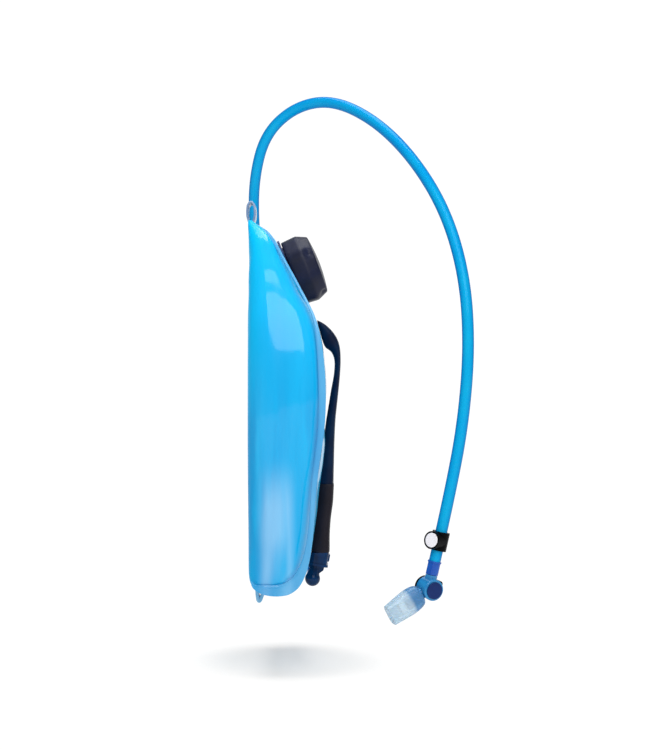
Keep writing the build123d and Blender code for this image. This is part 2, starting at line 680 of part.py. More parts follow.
def connector_seal():
    """The O-ring on the connector, inside the valve's neck."""
    outer = VALVE_SOCKET_RADIUS
    return seal(hose_end_plane(), CONNECTOR_SEAL_LOW, CONNECTOR_SEAL_HIGH, outer, CONNECTOR_SEAL_GROOVE)


def valve_barrel():
    """The barrel that holds the dial's spindle, its front edge rounded."""
    barrel = Cylinder(BARREL_RADIUS, BARREL_FRONT - BARREL_BACK, align=MIN_ALIGN)
    barrel = fillet(barrel.faces().sort_by(Axis.Z)[-1].edges(), BARREL_ROUND)
    return dial_plane().offset(BARREL_BACK) * barrel


def valve_elbow():
    """The valve's body: a neck on the connector, a barrel for the dial, and a spout for the mouthpiece."""
    hose = hose_end_plane()
    mouth = mouth_plane()
    bore = SPINDLE_RADIUS + SPINDLE_CLEARANCE
    body = rod(hose, VALVE_NECK_TOP, VALVE_CENTRE, VALVE_NECK_RADIUS) + valve_barrel()
    body = body + rod(mouth, 0, SPOUT_LENGTH, SPOUT_RADIUS)
    body = body - rod(hose, VALVE_NECK_TOP - OVERRUN, VALVE_SOCKET_BOTTOM, VALVE_SOCKET_RADIUS)
    body = body - rod(dial_plane(), BARREL_BACK - OVERRUN, BARREL_FRONT + OVERRUN, bore)
    body = body - rod(hose, VALVE_SOCKET_BOTTOM - OVERRUN, VALVE_CENTRE, VALVE_PASSAGE_RADIUS)
    return body - rod(mouth, 0, SPOUT_LENGTH + OVERRUN, SPOUT_BORE_RADIUS)


def shutoff_dial():
    """The shut-off's spindle, with the passage through it, and the round dial in front."""
    plane = dial_plane()
    disc = Cylinder(DIAL_RADIUS, DIAL_FRONT - DIAL_BACK, align=MIN_ALIGN)
    disc = fillet(disc.faces().sort_by(Axis.Z)[-1].edges(), DIAL_ROUND)
    body = rod(plane, LEVER_BACK, DIAL_BACK, SPINDLE_RADIUS) + plane.offset(DIAL_BACK) * disc
    for start in DIAL_SEAL_STARTS:
        end = start + DIAL_SEAL_WIDTH
        body = body - ring(plane, start, end, SPINDLE_RADIUS + OVERRUN, DIAL_SEAL_GROOVE)
    body = body - rod(mouth_plane(), 0, SPINDLE_RADIUS + OVERRUN, VALVE_PASSAGE_RADIUS)
    return body - rod(hose_end_plane(), VALVE_SOCKET_BOTTOM - OVERRUN, VALVE_CENTRE, VALVE_PASSAGE_RADIUS)


def dial_lever():
    """The drop-shaped plate behind the barrel, fixed on the spindle, whose tip turns it."""
    plane = Plane(dial_plane().location * Rot(0, 0, LEVER_ANGLE))
    body = teardrop(plane, LEVER_BACK, LEVER_FRONT, LEVER_RING_RADIUS, LEVER_REACH, LEVER_TIP_RADIUS)
    return body - rod(dial_plane(), LEVER_BACK - OVERRUN, LEVER_FRONT + OVERRUN, SPINDLE_RADIUS + OUTLET_GAP)


def dial_seal():
    """The two O-rings on the dial's spindle, one on each side of the passage."""
    outer = SPINDLE_RADIUS + SPINDLE_CLEARANCE
    rings = [seal(dial_plane(), start, start + DIAL_SEAL_WIDTH, outer, DIAL_SEAL_GROOVE)
             for start in DIAL_SEAL_STARTS]
    return rings[0] + rings[1]


def bite_valve():
    """The soft mouthpiece, pushed over the spout, with a slit across its flattened end."""
    plane = mouth_plane()
    body = loft([plane.offset(BITE_START) * Circle(BITE_START_RADIUS),
                 plane.offset(BITE_BULGE) * Ellipse(BITE_BULGE_SIZE[0] / 2, BITE_BULGE_SIZE[1] / 2),
                 plane.offset(BITE_END) * Ellipse(BITE_END_SIZE[0] / 2, BITE_END_SIZE[1] / 2)])
    body = body - rod(plane, BITE_START - OVERRUN, SPOUT_LENGTH + OVERRUN, BITE_BORE_RADIUS)
    slit_length = BITE_END - SPOUT_LENGTH + 4 * OVERRUN
    slit = Pos(0, 0, (SPOUT_LENGTH + BITE_END) / 2) * Box(*SLIT_SIZE, slit_length)
    return body - plane * slit


def build():
    """Every piece of the bladder, by name."""
    back_panel, side_gusset, front_panel = bag_panels()
    return {
        "back_panel": back_panel,
        "side_gusset": side_gusset,
        "front_panel": front_panel,
        "hang_loop": hang_loop(),
        "bottom_loop": bottom_loop(),
        "neck_ring": neck_ring(),
        "cap": cap(),
        "cap_gasket": cap_gasket(),
        "handle_grip": handle_grip(),
        "handle_sleeve": handle_sleeve(),
        "outlet_port": outlet_port(),
        "qd_socket": qd_socket(),
        "release_button": release_button(),
        "button_spring": button_spring(),
        "poppet": poppet(),
        "poppet_spring": poppet_spring(),
        "plug_elbow": plug_elbow(),
        "plug_seal": plug_seal(),
        "drink_hose": drink_hose(),
        "clip_band": clip_band(),
        "clip_magnet": clip_magnet(),
        "valve_connector": valve_connector(),
        "connector_seal": connector_seal(),
        "valve_elbow": valve_elbow(),
        "shutoff_dial": shutoff_dial(),
        "dial_lever": dial_lever(),
        "dial_seal": dial_seal(),
        "bite_valve": bite_valve(),
    }


os.makedirs("parts", exist_ok=True)
for name, piece in build().items():
    export_step(piece, f"parts/{name}.step")
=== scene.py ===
import math

import bmesh
import bpy
from mathutils import Matrix, Vector, noise


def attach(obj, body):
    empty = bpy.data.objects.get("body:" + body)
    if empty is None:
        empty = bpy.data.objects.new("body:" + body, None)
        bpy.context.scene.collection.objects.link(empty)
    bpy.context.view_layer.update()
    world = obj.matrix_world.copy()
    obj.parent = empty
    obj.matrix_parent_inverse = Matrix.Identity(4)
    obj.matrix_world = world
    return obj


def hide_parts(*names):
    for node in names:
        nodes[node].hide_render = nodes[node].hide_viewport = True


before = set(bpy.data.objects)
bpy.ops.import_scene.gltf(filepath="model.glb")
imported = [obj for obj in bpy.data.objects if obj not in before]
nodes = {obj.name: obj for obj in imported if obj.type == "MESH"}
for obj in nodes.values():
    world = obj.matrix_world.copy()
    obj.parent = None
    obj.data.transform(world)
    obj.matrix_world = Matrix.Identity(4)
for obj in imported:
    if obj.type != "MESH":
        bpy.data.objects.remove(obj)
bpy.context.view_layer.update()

# The looks of the hydration bladder. Metres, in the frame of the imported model: origin in the hang
# loop's eye, +Z up, the back panel facing -X, the cap and handle facing +X.

MM = 0.001
scene = bpy.context.scene


# ---------------------------------------------------------------- camera

CAMERA_DISTANCE = 1.40
VIEW_CENTRE = (0.0698, -0.1534)
VIEW_WIDTH = 0.6175
SENSOR = 36.0

camera_data = bpy.data.cameras.new("camera")
camera_data.sensor_fit = "HORIZONTAL"
camera_data.sensor_width = SENSOR
camera_data.lens = SENSOR * CAMERA_DISTANCE / VIEW_WIDTH
camera = bpy.data.objects.new("camera", camera_data)
camera.location = (VIEW_CENTRE[0], -CAMERA_DISTANCE, VIEW_CENTRE[1])
camera.rotation_euler = (math.radians(90), 0, 0)
scene.collection.objects.link(camera)
scene.camera = camera


# ---------------------------------------------------------------- small tools

def clamp(value, low=0.0, high=1.0):
    return max(low, min(high, value))


def smoothstep(low, high, value):
    """0 at low, 1 at high, and a smooth change between them, whichever is larger."""
    share = clamp((value - low) / (high - low))
    return share * share * (3 - 2 * share)


def mix(a, b, share):
    return a + (b - a) * share


def curve_value(table, at, column):
    """A column of a table at a height: a smooth curve through the rows, which run downwards."""
    last = len(table) - 1
    if at >= table[0][0]:
        return table[0][column]
    if at <= table[last][0]:
        return table[last][column]
    index = next(i for i in range(last) if table[i][0] >= at >= table[i + 1][0])

    def slope(i):
        before, after = table[max(i - 1, 0)], table[min(i + 1, last)]
        return (after[column] - before[column]) / (after[0] - before[0])

    (z0, y0), (z1, y1) = [(table[i][0], table[i][column]) for i in (index, index + 1)]
    span = z1 - z0
    t = (at - z0) / span
    start = (2 * t ** 3 - 3 * t ** 2 + 1) * y0 + (t ** 3 - 2 * t ** 2 + t) * span * slope(index)
    return start + (3 * t ** 2 - 2 * t ** 3) * y1 + (t ** 3 - t ** 2) * span * slope(index + 1)


def new_piece(name, points, faces, smooth=True):
    """A mesh object from points in metres."""
    mesh = bpy.data.meshes.new(name)
    mesh.from_pydata([tuple(p) for p in points], [], faces)
    mesh.update()
    mesh.polygons.foreach_set("use_smooth", [smooth] * len(mesh.polygons))
    piece = bpy.data.objects.new(name, mesh)
    scene.collection.objects.link(piece)
    return piece


def grid_faces(rows, columns, closed=True):
    """Quads between rows of points; closed joins each row's end to its start."""
    faces = []
    for row in range(rows - 1):
        for column in range(columns if closed else columns - 1):
            after = (column + 1) % columns
            here = row * columns
            faces.append((here + column, here + after, here + columns + after, here + columns + column))
    return faces


def loft(name, rings, cap_start=True):
    """A skin over rings of equally many points, closed at its end and, if asked, at its start."""
    columns = len(rings[0])
    points = [p for ring in rings for p in ring]
    faces = grid_faces(len(rings), columns)
    if cap_start:
        faces.append(tuple(reversed(range(columns))))
    first = (len(rings) - 1) * columns
    faces.append(tuple(range(first, first + columns)))
    return new_piece(name, points, faces)


def fix_normals(piece):
    """Face normals made consistent and outward."""
    work = bmesh.new()
    work.from_mesh(piece.data)
    bmesh.ops.recalc_face_normals(work, faces=work.faces)
    work.to_mesh(piece.data)
    work.free()


def thicken(piece, thickness, offset=-1.0):
    modifier = piece.modifiers.new("thickness", "SOLIDIFY")
    modifier.thickness = thickness
    modifier.offset = offset


def subdivide(piece):
    modifier = piece.modifiers.new("subdivision", "SUBSURF")
    modifier.levels = 1
    modifier.render_levels = 1


def paint(piece, material):
    piece.data.materials.clear()
    piece.data.materials.append(material)


def paint_node(name, material):
    """A CAD node's own material slots are all given this material."""
    piece = nodes[name]
    if not piece.material_slots:
        piece.data.materials.append(material)
    for material_slot in piece.material_slots:
        material_slot.material = material


def finish_piece(piece, material, body, slot_name, *replaced):
    paint(piece, material)
    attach(piece, body)
    if replaced:
        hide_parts(*replaced)


# ---------------------------------------------------------------- materials

def linear(code):
    """A colour written as RRGGBB, in linear light."""
    channels = [int(code[i:i + 2], 16) / 255 for i in (0, 2, 4)]
    return tuple(c / 12.92 if c <= 0.04045 else ((c + 0.055) / 1.055) ** 2.4 for c in channels) + (1.0,)


NONE = (0, 0, 0, 1)
FULL = (1, 1, 1, 1)


def grey(level):
    return (level, level, level, 1)


class Surface:
    """A node material around one Principled shader, with short calls for its detail."""

    def __init__(self, name, roughness=0.4, **sockets):
        self.material = bpy.data.materials.new(name)
        self.material.use_nodes = True
        self.tree = self.material.node_tree
        self.shader = self.tree.nodes["Principled BSDF"]
        self.coordinates = self.tree.nodes.new("ShaderNodeTexCoord")
        self.normal = None
        self.set("Roughness", roughness)
        for socket, value in sockets.items():
            self.set(socket.replace("_", " "), value)

    def set(self, socket, value):
        self.shader.inputs[socket].default_value = value

    def link(self, a, b):
        self.tree.links.new(a, b)

    def node(self, kind, **values):
        made = self.tree.nodes.new(kind)
        for key, value in values.items():
            setattr(made, key, value)
        return made

    def stretched(self, scale):
        """Object coordinates, stretched by a scale on each axis."""
        mapping = self.node("ShaderNodeMapping")
        mapping.inputs["Scale"].default_value = scale
        self.link(self.coordinates.outputs["Object"], mapping.inputs["Vector"])
        return mapping.outputs["Vector"]

    def noise(self, scale, detail=3.0, stretch=(1, 1, 1), roughness=0.5):
        made = self.node("ShaderNodeTexNoise")
        made.inputs["Scale"].default_value = scale
        made.inputs["Detail"].default_value = detail
        made.inputs["Roughness"].default_value = roughness
        self.link(self.stretched(stretch), made.inputs["Vector"])
        return made.outputs["Fac"]

    def ramp(self, factor, stops):
        made = self.node("ShaderNodeValToRGB")
        elements = made.color_ramp.elements
        while len(elements) < len(stops):
            elements.new(0.5)
        for element, (position, colour) in zip(elements, stops):
            element.position = position
            element.color = colour
        self.link(factor, made.inputs["Fac"])
        return made.outputs["Color"]

    def blend(self, factor, a, b):
        made = self.node("ShaderNodeMix", data_type="RGBA")
        for value, socket in ((factor, made.inputs[0]), (a, made.inputs[6]), (b, made.inputs[7])):
            if hasattr(value, "is_output"):
                self.link(value, socket)
            else:
                socket.default_value = value
        return made.outputs[2]

    def towards(self, direction, low, high):
        """0 to 1 between two distances along a direction in object axes."""
        distance = self.node("ShaderNodeVectorMath", operation="DOT_PRODUCT")
        self.link(self.coordinates.outputs["Object"], distance.inputs[0])
        distance.inputs[1].default_value = direction
        scaled = self.node("ShaderNodeMapRange", interpolation_type="SMOOTHSTEP")
        scaled.inputs["From Min"].default_value = low
        scaled.inputs["From Max"].default_value = high
        self.link(distance.outputs["Value"], scaled.inputs["Value"])
        return scaled.outputs[0]

    def colour(self, output):
        self.link(output, self.shader.inputs["Base Color"])
        return self

    def vary_roughness(self, factor, low, high):
        scaled = self.node("ShaderNodeMapRange")
        scaled.inputs["To Min"].default_value = low
        scaled.inputs["To Max"].default_value = high
        self.link(factor, scaled.inputs["Value"])
        self.link(scaled.outputs[0], self.shader.inputs["Roughness"])
        return self

    def bump(self, height, strength, distance):
        """Adds a layer of bump over the ones before it."""
        made = self.node("ShaderNodeBump")
        made.inputs["Strength"].default_value = strength
        made.inputs["Distance"].default_value = distance
        self.link(height, made.inputs["Height"])
        if self.normal is not None:
            self.link(self.normal, made.inputs["Normal"])
        self.normal = made.outputs["Normal"]
        self.link(self.normal, self.shader.inputs["Normal"])
        return self


DOWN = (0.0, 0.0, -1.0)
FORWARD = (1.0, 0.0, 0.0)


def film_material(name, deep, mid, pale, haze_strength=0.3, painted_reflection_strength=0.5):
    """Glossy welded film: soft vertical colour drift, deeper streaks low down, and a painted pale reflection
    of the floor in blotches low on the side face.
    """
    surface = Surface(name, 0.3, Coat_Weight=1.0, Coat_Roughness=0.09, Coat_IOR=1.4, IOR=1.35)
    surface.set("Specular IOR Level", 0.1)
    drift = surface.noise(8.0, 3.0, (2.6, 1.0, 0.3))
    haze = surface.noise(26.0, 4.0, (1.6, 1.0, 0.3))
    base = surface.ramp(drift, [(0.32, linear(deep)), (0.5, linear(mid)), (0.7, linear(pale))])
    milky = surface.ramp(haze, [(0.45, NONE), (0.8, grey(haze_strength))])
    base = surface.blend(milky, base, linear("6CBCEC"))
    streaks = surface.ramp(surface.noise(30.0, 4.0, (1.9, 1.0, 0.22)), [(0.46, NONE), (0.62, grey(0.5))])
    streaks = surface.blend(surface.towards(DOWN, 0.12, 0.22), NONE, streaks)
    base = surface.blend(streaks, base, linear("0088CC"))
    # Painted reflection: pale blotches (98CCF0) below about 225 mm, in a band about 6 to 46 mm forward of
    # the back panel, stand in for the white floor mirrored in the film.
    reflection_blotch_noise = surface.noise(22.0, 2.0, (1.8, 1.0, 0.25))
    painted_floor_reflection = surface.ramp(reflection_blotch_noise, [(0.42, NONE), (0.56, grey(painted_reflection_strength))])
    low = surface.blend(surface.towards(DOWN, 0.225, 0.275), NONE, painted_floor_reflection)
    behind = surface.blend(surface.towards(FORWARD, 0.006, 0.02), NONE, low)
    before = surface.blend(surface.towards(FORWARD, 0.034, 0.046), behind, NONE)
    surface.colour(surface.blend(before, base, linear("98CCF0")))
    surface.vary_roughness(haze, 0.24, 0.4)
    seam = surface.ramp(surface.towards(FORWARD, 0.001, 0.017), [(0.0, grey(0.0)), (1.0, FULL)])
    surface.link(seam, surface.shader.inputs["Coat Weight"])
    surface.bump(surface.noise(60.0, 2.0, (1.5, 1.0, 0.14)), 0.2, 0.001)
    surface.bump(surface.noise(900.0, 2.0), 0.04, 0.0002)
    return surface.material


def moulded_material(name, dark, light, roughness=0.38, grain=1400.0, wear=0.35, shine=0.22):
    """Moulded plastic: fine spark-eroded grain, uneven gloss, paler rubbed edges."""
    surface = Surface(name, roughness)
    surface.set("Specular IOR Level", shine)
    cloud = surface.noise(60.0, 4.0)
    base = surface.ramp(cloud, [(0.3, linear(dark)), (0.7, linear(light))])
    geometry = surface.node("ShaderNodeNewGeometry")
    edge = surface.ramp(geometry.outputs["Pointiness"], [(0.52, NONE), (0.62, grey(wear))])
    scratch = surface.ramp(surface.noise(420.0, 5.0, (1, 1, 0.4), 0.7), [(0.45, NONE), (0.7, FULL)])
    rubbed = surface.blend(edge, NONE, scratch)
    surface.colour(surface.blend(rubbed, base, linear("4A5468")))
    surface.vary_roughness(surface.noise(150.0, 4.0), roughness - 0.08, roughness + 0.14)
    surface.bump(surface.noise(grain, 2.0), 0.18, 0.00025)
    surface.bump(surface.noise(40.0, 2.0), 0.1, 0.0006)
    return surface.material


def gloss_material(name, dark, light, transmission=0.0, roughness=0.14, marks=0.08, shine=0.25):
    """Glossy moulded plastic with slight depth, flow marks and hairline scratches."""
    surface = Surface(name, roughness, Coat_Weight=shine, Coat_Roughness=0.05, IOR=1.5)
    surface.set("Specular IOR Level", shine)
    surface.set("Transmission Weight", transmission)
    surface.colour(surface.ramp(surface.noise(90.0, 3.0), [(0.3, linear(dark)), (0.7, linear(light))]))
    surface.vary_roughness(surface.noise(300.0, 4.0, (1, 1, 0.3)), roughness, roughness + 0.1)
    surface.bump(surface.noise(220.0, 3.0, (1, 1, 0.5)), marks, 0.0004)
    return surface.material


def hose_material(name, dark, light, wall):
    """Tinted flexible tube: a clear blue wall over a paler inside, a wet gloss, faint cloudiness."""
    surface = Surface(name, 0.16, Coat_Weight=1.0, Coat_Roughness=0.1, Coat_IOR=1.12, IOR=1.5)
    surface.set("Coat Tint", linear(wall))
    surface.set("Specular IOR Level", 0.35)
    surface.colour(surface.ramp(surface.noise(40.0, 3.0), [(0.3, linear(dark)), (0.7, linear(light))]))
    surface.vary_roughness(surface.noise(60.0, 2.0), 0.14, 0.22)
    return surface.material


def silicone_material(name, core, skin, tinted=None):
    """Milky soft silicone with dust; tinted is a darker colour, a direction and where it fades out."""
    surface = Surface(name, 0.3, IOR=1.41)
    surface.set("Transmission Weight", 0.45)
    surface.set("Subsurface Weight", 0.35)
    surface.set("Subsurface Radius", (0.004, 0.005, 0.006))
    base = surface.ramp(surface.noise(120.0, 3.0), [(0.3, linear(core)), (0.7, linear(skin))])
    if tinted:
        tint, direction, low, high = tinted
        base = surface.blend(surface.towards(direction, low, high), linear(tint), base)
    surface.colour(base)
    surface.vary_roughness(surface.noise(500.0, 4.0), 0.22, 0.42)
    surface.bump(surface.noise(700.0, 3.0), 0.1, 0.0002)
    return surface.material


def metal_material(name, colour, roughness=0.25):
    """Metal with fine turning marks."""
    surface = Surface(name, roughness, Metallic=1.0)
    surface.colour(surface.ramp(surface.noise(200.0, 3.0), [(0.3, linear(colour)), (0.7, linear("FFFFFF"))]))
    surface.bump(surface.noise(1500.0, 2.0, (1, 1, 6)), 0.15, 0.0001)
    return surface.material


# The last value of each film is the strength of its painted pale floor reflection low down.
film_blue = film_material("film_blue", "00A4E0", "00B0EA", "00BAF0", 0.12, 0.6)
film_weld = film_material("film_weld", "3A9CD4", "56AADC", "7AB8E2", 0.6, 0.3)
film_clear = gloss_material("film_clear", "6C86AC", "94ACCC", 0.1, 0.2)
foot_clear = gloss_material("foot_clear", "74B8E0", "98CCEA", 0.0, 0.22)
cap_navy = moulded_material("cap_navy", "0D1228", "141B38", 0.36, wear=0.2)
neck_navy = moulded_material("neck_navy", "082050", "0E2C62", 0.3)
handle_navy = moulded_material("handle_navy", "062442", "0A1730", 0.34, wear=0.2, shine=0.1)
sleeve_dark = moulded_material("sleeve_dark", "100B16", "17121E", 0.46, 2200.0, 0.12)
teal_gloss = gloss_material("teal_gloss", "021E3C", "063460", roughness=0.1, shine=0.1)
hose_blue = hose_material("hose_blue", "0CE4FF", "2CF4FF", "6CB0D8")
black_plastic = moulded_material("black_plastic", "030304", "060607", 0.34, wear=0.06, shine=0.05)
magnet_white = gloss_material("magnet_white", "E2E0E6", "EEECF2", 0.0, 0.25)
valve_blue = gloss_material("valve_blue", "1C74B0", "3490C6", 0.0, 0.1)
connector_blue = gloss_material("connector_blue", "043C9C", "0C58B8", 0.0, 0.05)
dial_navy = gloss_material("dial_navy", "06225A", "0C2C68", 0.0, 0.35, shine=0.12)
VALVE_CENTRE = Vector((0.160283, -0.114, -0.339309))
DIAL_AXIS = Vector((0.429093, -0.898076, -0.096636)).normalized()
MOUTH_AXIS = Vector((-0.798106, -0.326865, -0.506148)).normalized()
mouth_start = VALVE_CENTRE.dot(MOUTH_AXIS)
bite_clear = silicone_material("bite_clear", "C2DEF0", "D8ECF8",
                               ("5A9ACE", MOUTH_AXIS, mouth_start + 0.0195, mouth_start + 0.0235))
seal_grey = silicone_material("seal_grey", "AEB4BC", "D0D4DA")
spring_wire = metal_material("spring_wire", "B4B8BE")


# ---------------------------------------------------------------- drink hose

HOSE_DIAMETER = 0.0105
HOSE_ROUTE = [
    (0.0574, 0.0080, -0.3467),
    (0.0570, 0.0480, -0.3480),
    (0.0550, 0.0910, -0.3410),
    (0.0500, 0.1190, -0.3080),
    (0.0430, 0.1240, -0.2560),
    (0.0340, 0.1200, -0.2020),
    (0.0230, 0.1120, -0.1460),
    (0.0120, 0.0980, -0.0920),
    (0.0030, 0.0810, -0.0440),
    (-0.0010, 0.0640, -0.0040),
    (0.0000, 0.0490, 0.0400),
    (0.0115, 0.0350, 0.0810),
    (0.0410, 0.0190, 0.1050),
    (0.0770, -0.0030, 0.1075),
    (0.1160, -0.0340, 0.0830),
    (0.1495, -0.0680, 0.0430),
    (0.1765, -0.0960, -0.0080),
    (0.1920, -0.1100, -0.0660),
    (0.1957, -0.1150, -0.1280),
    (0.1905, -0.1150, -0.1940),
    (0.1790, -0.1140, -0.2562),
    (0.1656, -0.1140, -0.3157),
]


def make_hose():
    """The drink hose: a round tube along its route, from the plug to the valve's connector."""
    curve = bpy.data.curves.new("drink_hose_tube", "CURVE")
    curve.dimensions = "3D"
    spline = curve.splines.new("NURBS")
    spline.points.add(len(HOSE_ROUTE) - 1)
    for point, place in zip(spline.points, HOSE_ROUTE):
        point.co = (*place, 1.0)
    spline.order_u = 3
    spline.use_endpoint_u = True
    spline.resolution_u = 12
    curve.resolution_u = 12
    curve.bevel_depth = HOSE_DIAMETER / 2
    curve.bevel_resolution = 8
    hose = bpy.data.objects.new("drink_hose_tube", curve)
    scene.collection.objects.link(hose)
    finish_piece(hose, hose_blue, "hose_set", "hose", "drink_hose")
    return hose


hose = make_hose()


# ---------------------------------------------------------------- film bag

# One row per level: height, back, front, half width, corner radius, in millimetres
BAG = [
    (-9.6, -1.6, 1.8, 31.0, 1.6),
    (-13.5, -1.8, 6.5, 35.0, 3.5),
    (-17.0, -1.6, 12.0, 38.5, 6.0),
    (-28.0, -0.8, 23.5, 47.5, 10.0),
    (-47.0, -0.2, 33.2, 58.0, 13.0),
    (-74.0, 0.0, 47.0, 72.0, 16.0),
    (-102.0, 0.0, 61.3, 84.5, 18.0),
    (-125.0, 0.0, 67.4, 89.5, 19.0),
    (-150.0, 0.0, 69.8, 91.5, 20.0),
    (-178.0, 0.0, 70.3, 92.0, 20.0),
    (-216.0, 0.0, 67.2, 91.6, 20.0),
    (-254.0, 0.2, 62.0, 90.0, 19.0),
    (-292.0, 0.5, 58.0, 87.0, 18.0),
    (-312.0, 0.6, 55.0, 85.0, 17.0),
    (-326.0, 0.8, 51.5, 83.5, 15.0),
    (-336.0, 1.4, 46.5, 82.0, 12.0),
    (-342.5, 3.2, 40.0, 80.5, 8.5),
    (-346.5, 7.5, 32.0, 78.0, 5.0),
    (-348.5, 13.0, 25.0, 75.0, 3.0),
]
BAG_RINGS = 150
FILM_THICKNESS = 0.45
SIDE_CROWN = 3.5
FRONT_CROWN = 2.5
HANDLE_SWELL = 3.0
SWELL_CENTRE = 34.0
SWELL_REACH = 15.0
SLOPE_NORMAL = Vector((math.cos(math.radians(27)), 0, math.sin(math.radians(27))))
SLOPE_POINT = Vector((40.0, 0.0, -59.4)) * MM
NECK_AXIS = Vector((math.cos(math.radians(21.2)), 0, math.sin(math.radians(21.2))))
NECK_CENTRE = Vector((36.7, 0.0, -58.2)) * MM
FLANGE = 34.0 * MM
FLANGE_FADE = 12 * MM
NECK_CUT_DEPTH = 9 * MM
HANDLE_TOP = -0.098


def rounded_section(back, front, half_width, radius, counts=(22, 8, 18)):
    """Points around a rounded rectangle, from the middle of its back: along Y, X, and corners."""
    across, corner, deep = counts
    points = []
    centres = [(back + radius, -half_width + radius, 180), (front - radius, -half_width + radius, 270),
               (front - radius, half_width - radius, 0), (back + radius, half_width - radius, 90)]
    spans = [deep, across, deep, across]
    for index, (x, y, start) in enumerate(centres):
        for step in range(corner):
            angle = math.radians(start + 90 * step / (corner - 1))
            points.append((x + radius * math.cos(angle), y + radius * math.sin(angle)))
        after = centres[(index + 1) % 4]
        angle = math.radians(after[2])
        end = (after[0] + radius * math.cos(angle), after[1] + radius * math.sin(angle))
        begin = points[-1]
        for step in range(1, spans[index]):
            share = step / spans[index]
            points.append((mix(begin[0], end[0], share), mix(begin[1], end[1], share)))
    return points


# Patterns of the film's ripple: how fast each changes per millimetre on three axes, and where it starts
LONG_FOLD = ((0.085, 0.012, 0.011), (3.1, 0.0, 7.7))
FINE_FOLD = ((0.19, 0.02, 0.02), (9.4, 2.0, 1.2))
SWELL = ((0.02, 0.03, 0.03), (1.0, 5.0, 2.0))
CROSS_FOLD = ((0.05, 0.045, 0.016), (6.0, 1.0, 4.0))
PUCKER = ((0.12, 0.02, 0.05), (2.0, 8.0, 3.0))
GATHER = ((0.14, 0.1, 4.0), (0.5, 0.2, 0.1))


def ripple(pattern, a, b, c):
    """Smooth noise between about -1 and 1 at a place."""
    (fast_a, fast_b, fast_c), begin = pattern
    return noise.noise(Vector((a * fast_a, b * fast_b, c * fast_c)) + Vector(begin))


def bag_wrinkle(place, normal):
    """How far the film stands out of its smooth form, in millimetres."""
    x, y, z = place
    on_side = smoothstep(0.3, 0.9, abs(normal.y))
    on_front = smoothstep(0.5, 0.95, normal.x)
    off_back = smoothstep(-0.9, -0.3, normal.x)
    on_shoulder = smoothstep(-150, -95, z) * (1 - smoothstep(-40, -20, z))
    at_foot = 1 - smoothstep(-345, -300, z)
    long_fold = ripple(LONG_FOLD, x, y, z) * mix(0.25, 1.2, smoothstep(-130, -230, z))
    fine_fold = ripple(FINE_FOLD, x, y, z) * smoothstep(-130, -200, z)
    swell = ripple(SWELL, x, y, z) * (0.35 + 0.65 * smoothstep(-120, -190, z))
    height = on_side * (0.9 * long_fold + 0.35 * fine_fold) * off_back + 0.8 * swell * off_back
    height += on_front * 1.1 * ripple(CROSS_FOLD, x, y, z)
    height += 0.7 * on_shoulder * ripple(PUCKER, y, z, x)
    return height + 0.8 * at_foot * ripple(GATHER, x, y, 1.0)


def bag_point(x, y, z, back, front, half_width):
    """A point of the smooth bag: crowned sides, crowned front, swelling beside the handle."""
    middle = (back + front) / 2
    half_depth = (front - back) / 2
    grown = smoothstep(-20, -60, z)
    inwards = SIDE_CROWN * grown * ((x - middle) / half_depth) ** 2 * abs(y / half_width) ** 4
    y -= math.copysign(inwards, y)
    forward = smoothstep(0.2, 1.0, (x - middle) / half_depth)
    x -= FRONT_CROWN * grown * forward * (y / half_width) ** 2
    beside = math.exp(-((abs(y) - SWELL_CENTRE) / SWELL_REACH) ** 2)
    beside *= smoothstep(-190, -220, z) * (1 - smoothstep(-318, -335, z))
    return x + HANDLE_SWELL * forward * beside, y, z


def make_bag():
    """The film bag: a loft that is rippled, but still at its top seam, round the neck and by the handle."""
    top, bottom = BAG[0][0], BAG[-1][0]
    rings = []
    for row in range(BAG_RINGS):
        share = row / (BAG_RINGS - 1)
        height = mix(top, bottom, share + 0.06 * math.sin(2 * math.pi * share) / math.pi)
        back, front, half_width, radius = [curve_value(BAG, height, column) for column in (1, 2, 3, 4)]
        ring = []
        for x, y in rounded_section(back, front, half_width, radius):
            ring.append(Vector(bag_point(x, y, height, back, front, half_width)) * MM)
        rings.append(ring)
    bag = loft("film_bag", rings)
    fix_normals(bag)
    mesh = bag.data
    normals = [vertex.normal.copy() for vertex in mesh.vertices]
    for vertex, normal in zip(mesh.vertices, normals):
        place = vertex.co.copy()
        from_neck = place - NECK_CENTRE
        off_axis = (from_neck - NECK_AXIS * from_neck.dot(NECK_AXIS)).length
        flat = 1 - smoothstep(FLANGE, FLANGE + FLANGE_FADE, off_axis)
        if normal.x < 0.2:
            flat = 0.0
        flat *= smoothstep(-26 * MM, -34 * MM, place.z)
        handle = (1 - smoothstep(13, 20, abs(place.y / MM))) * smoothstep(0.3, 0.8, normal.x)
        if place.z >= HANDLE_TOP:
            handle = 0.0
        top_seam = smoothstep(-0.02, -0.012, place.z)
        still = max(flat, handle, top_seam)
        place += normal * bag_wrinkle(tuple(place / MM), normal) * MM * (1 - still)
        if flat > 0:
            place -= SLOPE_NORMAL * (place - SLOPE_POINT).dot(SLOPE_NORMAL) * flat
        vertex.co = place
    open_neck(bag)
    thicken(bag, FILM_THICKNESS * MM)
    return bag


def open_neck(bag):
    """Takes out the film inside the neck."""
    work = bmesh.new()
    work.from_mesh(bag.data)
    inside = []
    for face in work.faces:
        offset = face.calc_center_median() - NECK_CENTRE
        along = offset.dot(NECK_AXIS)
        if abs(along) < NECK_CUT_DEPTH and (offset - NECK_AXIS * along).length < FLANGE:
            inside.append(face)
    bmesh.ops.delete(work, geom=inside, context="FACES")
    work.to_mesh(bag.data)
    work.free()


bag = make_bag()
finish_piece(bag, film_blue, "root", "film", "back_panel", "side_gusset", "front_panel")


# ---------------------------------------------------------------- welded fins

